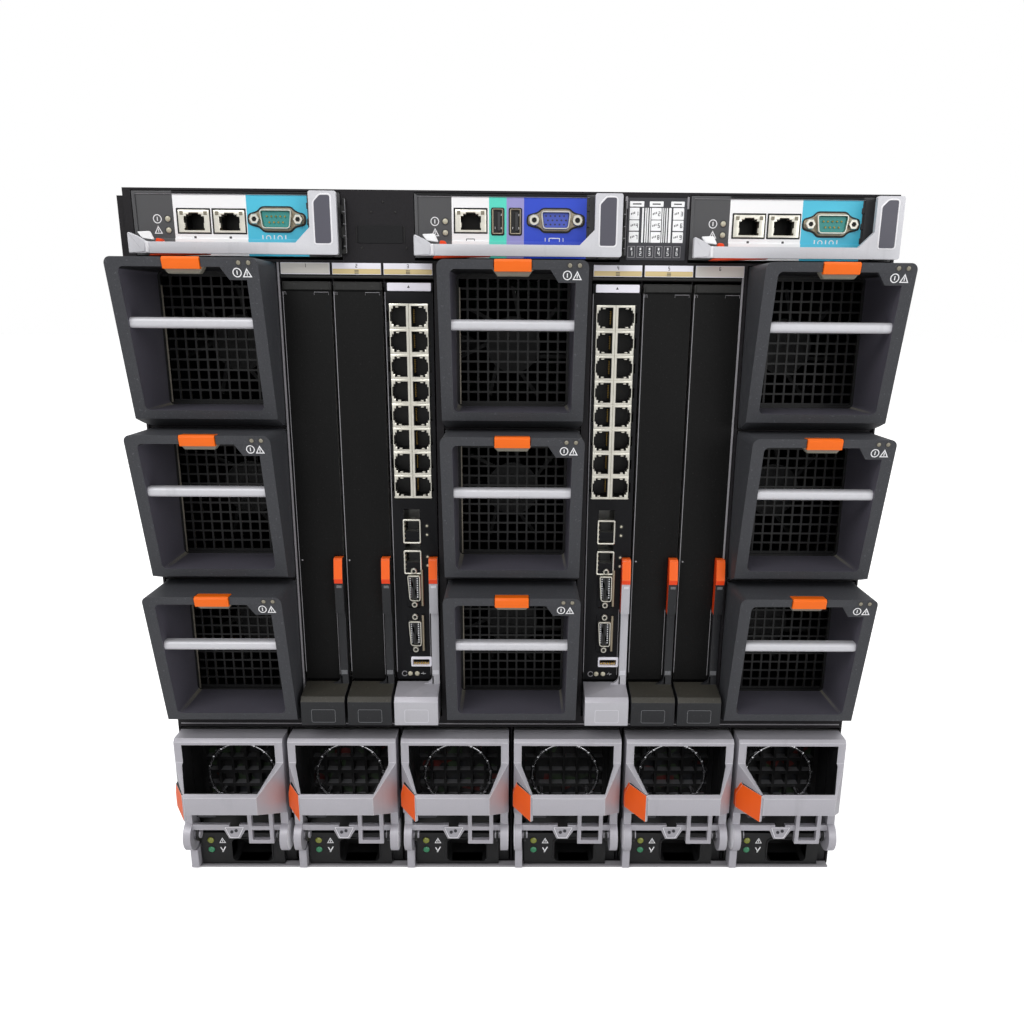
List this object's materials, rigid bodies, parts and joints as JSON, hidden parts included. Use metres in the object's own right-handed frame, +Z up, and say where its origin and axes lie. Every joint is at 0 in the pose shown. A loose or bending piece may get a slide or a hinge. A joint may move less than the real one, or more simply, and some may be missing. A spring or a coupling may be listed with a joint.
{
  "type": "blade server chassis",
  "caption": "Ten-unit rack enclosure for blade servers, with removable fan modules, power supplies, I/O modules and management modules at its rear.",
  "frame": {"origin": "centre of the underside of the enclosure, midway along its sheet-metal case", "axes": "+X to the right seen from the rear, +Y from the rear face to the front face, +Z up"},
  "size_m": [0.4826, 0.7988, 0.44],
  "materials": {
    "cage_paint": "black textured powder coat",
    "label_plastic": "light grey label holder",
    "board_laminate": "green circuit board",
    "blank_plastic": "black moulded plastic",
    "panel_plastic": "dark grey moulded plastic",
    "button_metal": "satin button",
    "fan_housing": "dark grey textured plastic shroud on a metal tube",
    "fan_latch_plastic": "orange touch point",
    "switch_case": "black painted face with bare metal jacks",
    "io_blank_case": "black painted filler",
    "lever_silver": "silver-grey paint",
    "lever_black": "black moulded plastic",
    "psu_case": "black sheet metal",
    "psu_handle_paint": "grey metallic paint",
    "mgmt_case": "coloured printed face on sheet metal",
    "mgmt_handle_paint": "silver paint"
  },
  "bodies": {
    "enclosure": {"chassis_shell": "cage_paint", "top_cover": "cage_paint", "bay_decks": "cage_paint", "bay_walls": "cage_paint", "bay_headers": "cage_paint", "mgmt_cage": "cage_paint", "slot_labels": "label_plastic", "midplane": "board_laminate", "front_frame": "cage_paint", "blade_blanks": "blank_plastic"},
    "control_panel": {"control_panel": "panel_plastic"},
    "power_button": {"power_button": "button_metal"},
    "fan_1": {"fan_1": "fan_housing"},
    "fan_2": {"fan_2": "fan_housing"},
    "fan_3": {"fan_3": "fan_housing"},
    "fan_4": {"fan_4": "fan_housing"},
    "fan_5": {"fan_5": "fan_housing"},
    "fan_6": {"fan_6": "fan_housing"},
    "fan_7": {"fan_7": "fan_housing"},
    "fan_8": {"fan_8": "fan_housing"},
    "fan_9": {"fan_9": "fan_housing"},
    "fan_latch_1": {"fan_latch_1": "fan_latch_plastic"},
    "fan_latch_2": {"fan_latch_2": "fan_latch_plastic"},
    "fan_latch_3": {"fan_latch_3": "fan_latch_plastic"},
    "fan_latch_4": {"fan_latch_4": "fan_latch_plastic"},
    "fan_latch_5": {"fan_latch_5": "fan_latch_plastic"},
    "fan_latch_6": {"fan_latch_6": "fan_latch_plastic"},
    "fan_latch_7": {"fan_latch_7": "fan_latch_plastic"},
    "fan_latch_8": {"fan_latch_8": "fan_latch_plastic"},
    "fan_latch_9": {"fan_latch_9": "fan_latch_plastic"},
    "io_blank_1": {"io_blank_1": "io_blank_case"},
    "io_blank_2": {"io_blank_2": "io_blank_case"},
    "io_switch_3": {"io_switch_3": "switch_case"},
    "io_switch_4": {"io_switch_4": "switch_case"},
    "io_blank_5": {"io_blank_5": "io_blank_case"},
    "io_blank_6": {"io_blank_6": "io_blank_case"},
    "io_lever_1": {"io_lever_1": "lever_black"},
    "io_lever_2": {"io_lever_2": "lever_black"},
    "io_lever_3": {"io_lever_3": "lever_silver"},
    "io_lever_4": {"io_lever_4": "lever_silver"},
    "io_lever_5": {"io_lever_5": "lever_black"},
    "io_lever_6": {"io_lever_6": "lever_black"},
    "psu_1": {"psu_1": "psu_case"},
    "psu_2": {"psu_2": "psu_case"},
    "psu_3": {"psu_3": "psu_case"},
    "psu_4": {"psu_4": "psu_case"},
    "psu_5": {"psu_5": "psu_case"},
    "psu_6": {"psu_6": "psu_case"},
    "psu_handle_1": {"psu_handle_1": "psu_handle_paint"},
    "psu_handle_2": {"psu_handle_2": "psu_handle_paint"},
    "psu_handle_3": {"psu_handle_3": "psu_handle_paint"},
    "psu_handle_4": {"psu_handle_4": "psu_handle_paint"},
    "psu_handle_5": {"psu_handle_5": "psu_handle_paint"},
    "psu_handle_6": {"psu_handle_6": "psu_handle_paint"},
    "mgmt_module_left": {"mgmt_module_left": "mgmt_case"},
    "kvm_module": {"kvm_module": "mgmt_case"},
    "mgmt_module_right": {"mgmt_module_right": "mgmt_case"},
    "mgmt_handle_left": {"mgmt_handle_left": "mgmt_handle_paint"},
    "kvm_handle": {"kvm_handle": "mgmt_handle_paint"},
    "mgmt_handle_right": {"mgmt_handle_right": "mgmt_handle_paint"}
  },
  "joints": [
    {"name": "control_panel_slide", "type": "slide", "parent": "enclosure", "child": "control_panel", "axis": [0, 1, 0], "range_m": [0, 0.05]},
    {"name": "power_button_press", "type": "slide", "parent": "enclosure", "child": "power_button", "axis": [0, -1, 0], "range_m": [0, 0.0015], "stiffness_N_per_m": 600},
    {"name": "fan_1_slide", "type": "slide", "parent": "enclosure", "child": "fan_1", "axis": [0, -1, 0], "range_m": [0, 0.215]},
    {"name": "fan_latch_1_press", "type": "slide", "parent": "fan_1", "child": "fan_latch_1", "axis": [0, 0, -1], "range_m": [0, 0.002], "stiffness_N_per_m": 800},
    {"name": "fan_2_slide", "type": "slide", "parent": "enclosure", "child": "fan_2", "axis": [0, -1, 0], "range_m": [0, 0.215]},
    {"name": "fan_latch_2_press", "type": "slide", "parent": "fan_2", "child": "fan_latch_2", "axis": [0, 0, -1], "range_m": [0, 0.002], "stiffness_N_per_m": 800},
    {"name": "fan_3_slide", "type": "slide", "parent": "enclosure", "child": "fan_3", "axis": [0, -1, 0], "range_m": [0, 0.215]},
    {"name": "fan_latch_3_press", "type": "slide", "parent": "fan_3", "child": "fan_latch_3", "axis": [0, 0, -1], "range_m": [0, 0.002], "stiffness_N_per_m": 800},
    {"name": "fan_4_slide", "type": "slide", "parent": "enclosure", "child": "fan_4", "axis": [0, -1, 0], "range_m": [0, 0.215]},
    {"name": "fan_latch_4_press", "type": "slide", "parent": "fan_4", "child": "fan_latch_4", "axis": [0, 0, -1], "range_m": [0, 0.002], "stiffness_N_per_m": 800},
    {"name": "fan_5_slide", "type": "slide", "parent": "enclosure", "child": "fan_5", "axis": [0, -1, 0], "range_m": [0, 0.215]},
    {"name": "fan_latch_5_press", "type": "slide", "parent": "fan_5", "child": "fan_latch_5", "axis": [0, 0, -1], "range_m": [0, 0.002], "stiffness_N_per_m": 800},
    {"name": "fan_6_slide", "type": "slide", "parent": "enclosure", "child": "fan_6", "axis": [0, -1, 0], "range_m": [0, 0.215]},
    {"name": "fan_latch_6_press", "type": "slide", "parent": "fan_6", "child": "fan_latch_6", "axis": [0, 0, -1], "range_m": [0, 0.002], "stiffness_N_per_m": 800},
    {"name": "fan_7_slide", "type": "slide", "parent": "enclosure", "child": "fan_7", "axis": [0, -1, 0], "range_m": [0, 0.215]},
    {"name": "fan_latch_7_press", "type": "slide", "parent": "fan_7", "child": "fan_latch_7", "axis": [0, 0, -1], "range_m": [0, 0.002], "stiffness_N_per_m": 800},
    {"name": "fan_8_slide", "type": "slide", "parent": "enclosure", "child": "fan_8", "axis": [0, -1, 0], "range_m": [0, 0.215]},
    {"name": "fan_latch_8_press", "type": "slide", "parent": "fan_8", "child": "fan_latch_8", "axis": [0, 0, -1], "range_m": [0, 0.002], "stiffness_N_per_m": 800},
    {"name": "fan_9_slide", "type": "slide", "parent": "enclosure", "child": "fan_9", "axis": [0, -1, 0], "range_m": [0, 0.215]},
    {"name": "fan_latch_9_press", "type": "slide", "parent": "fan_9", "child": "fan_latch_9", "axis": [0, 0, -1], "range_m": [0, 0.002], "stiffness_N_per_m": 800},
    {"name": "io_blank_1_slide", "type": "slide", "parent": "enclosure", "child": "io_blank_1", "axis": [0, -1, 0], "range_m": [0, 0.24]},
    {"name": "io_lever_1_turn", "type": "hinge", "parent": "io_blank_1", "child": "io_lever_1", "pos_m": [-0.1215, -0.378, 0.12325], "axis": [1, 0, 0], "range_deg": [0, 40]},
    {"name": "io_blank_2_slide", "type": "slide", "parent": "enclosure", "child": "io_blank_2", "axis": [0, -1, 0], "range_m": [0, 0.24]},
    {"name": "io_lever_2_turn", "type": "hinge", "parent": "io_blank_2", "child": "io_lever_2", "pos_m": [-0.0915, -0.378, 0.12325], "axis": [1, 0, 0], "range_deg": [0, 40]},
    {"name": "io_switch_3_slide", "type": "slide", "parent": "enclosure", "child": "io_switch_3", "axis": [0, -1, 0], "range_m": [0, 0.24]},
    {"name": "io_lever_3_turn", "type": "hinge", "parent": "io_switch_3", "child": "io_lever_3", "pos_m": [-0.0615, -0.378, 0.12325], "axis": [1, 0, 0], "range_deg": [0, 40]},
    {"name": "io_switch_4_slide", "type": "slide", "parent": "enclosure", "child": "io_switch_4", "axis": [0, -1, 0], "range_m": [0, 0.24]},
    {"name": "io_lever_4_turn", "type": "hinge", "parent": "io_switch_4", "child": "io_lever_4", "pos_m": [0.0615, -0.378, 0.12325], "axis": [1, 0, 0], "range_deg": [0, 40]},
    {"name": "io_blank_5_slide", "type": "slide", "parent": "enclosure", "child": "io_blank_5", "axis": [0, -1, 0], "range_m": [0, 0.24]},
    {"name": "io_lever_5_turn", "type": "hinge", "parent": "io_blank_5", "child": "io_lever_5", "pos_m": [0.0915, -0.378, 0.12325], "axis": [1, 0, 0], "range_deg": [0, 40]},
    {"name": "io_blank_6_slide", "type": "slide", "parent": "enclosure", "child": "io_blank_6", "axis": [0, -1, 0], "range_m": [0, 0.24]},
    {"name": "io_lever_6_turn", "type": "hinge", "parent": "io_blank_6", "child": "io_lever_6", "pos_m": [0.1215, -0.378, 0.12325], "axis": [1, 0, 0], "range_deg": [0, 40]},
    {"name": "psu_1_slide", "type": "slide", "parent": "enclosure", "child": "psu_1", "axis": [0, -1, 0], "range_m": [0, 0.24]},
    {"name": "psu_handle_1_turn", "type": "hinge", "parent": "psu_1", "child": "psu_handle_1", "pos_m": [-0.18633, -0.385, 0.028], "axis": [1, 0, 0], "range_deg": [0, 50]},
    {"name": "psu_2_slide", "type": "slide", "parent": "enclosure", "child": "psu_2", "axis": [0, -1, 0], "range_m": [0, 0.24]},
    {"name": "psu_handle_2_turn", "type": "hinge", "parent": "psu_2", "child": "psu_handle_2", "pos_m": [-0.1118, -0.385, 0.028], "axis": [1, 0, 0], "range_deg": [0, 50]},
    {"name": "psu_3_slide", "type": "slide", "parent": "enclosure", "child": "psu_3", "axis": [0, -1, 0], "range_m": [0, 0.24]},
    {"name": "psu_handle_3_turn", "type": "hinge", "parent": "psu_3", "child": "psu_handle_3", "pos_m": [-0.03727, -0.385, 0.028], "axis": [1, 0, 0], "range_deg": [0, 50]},
    {"name": "psu_4_slide", "type": "slide", "parent": "enclosure", "child": "psu_4", "axis": [0, -1, 0], "range_m": [0, 0.24]},
    {"name": "psu_handle_4_turn", "type": "hinge", "parent": "psu_4", "child": "psu_handle_4", "pos_m": [0.03727, -0.385, 0.028], "axis": [1, 0, 0], "range_deg": [0, 50]},
    {"name": "psu_5_slide", "type": "slide", "parent": "enclosure", "child": "psu_5", "axis": [0, -1, 0], "range_m": [0, 0.24]},
    {"name": "psu_handle_5_turn", "type": "hinge", "parent": "psu_5", "child": "psu_handle_5", "pos_m": [0.1118, -0.385, 0.028], "axis": [1, 0, 0], "range_deg": [0, 50]},
    {"name": "psu_6_slide", "type": "slide", "parent": "enclosure", "child": "psu_6", "axis": [0, -1, 0], "range_m": [0, 0.24]},
    {"name": "psu_handle_6_turn", "type": "hinge", "parent": "psu_6", "child": "psu_handle_6", "pos_m": [0.18633, -0.385, 0.028], "axis": [1, 0, 0], "range_deg": [0, 50]},
    {"name": "mgmt_module_left_slide", "type": "slide", "parent": "enclosure", "child": "mgmt_module_left", "axis": [0, -1, 0], "range_m": [0, 0.19]},
    {"name": "mgmt_handle_left_turn", "type": "hinge", "parent": "mgmt_module_left", "child": "mgmt_handle_left", "pos_m": [-0.1066, -0.382, 0.42087], "axis": [0, 0, 1], "range_deg": [0, 60]},
    {"name": "kvm_module_slide", "type": "slide", "parent": "enclosure", "child": "kvm_module", "axis": [0, -1, 0], "range_m": [0, 0.19]},
    {"name": "kvm_handle_turn", "type": "hinge", "parent": "kvm_module", "child": "kvm_handle", "pos_m": [0.055, -0.382, 0.42087], "axis": [0, 0, 1], "range_deg": [0, 60]},
    {"name": "mgmt_module_right_slide", "type": "slide", "parent": "enclosure", "child": "mgmt_module_right", "axis": [0, -1, 0], "range_m": [0, 0.19]},
    {"name": "mgmt_handle_right_turn", "type": "hinge", "parent": "mgmt_module_right", "child": "mgmt_handle_right", "pos_m": [0.2146, -0.382, 0.42087], "axis": [0, 0, 1], "range_deg": [0, 60]}
  ]
}
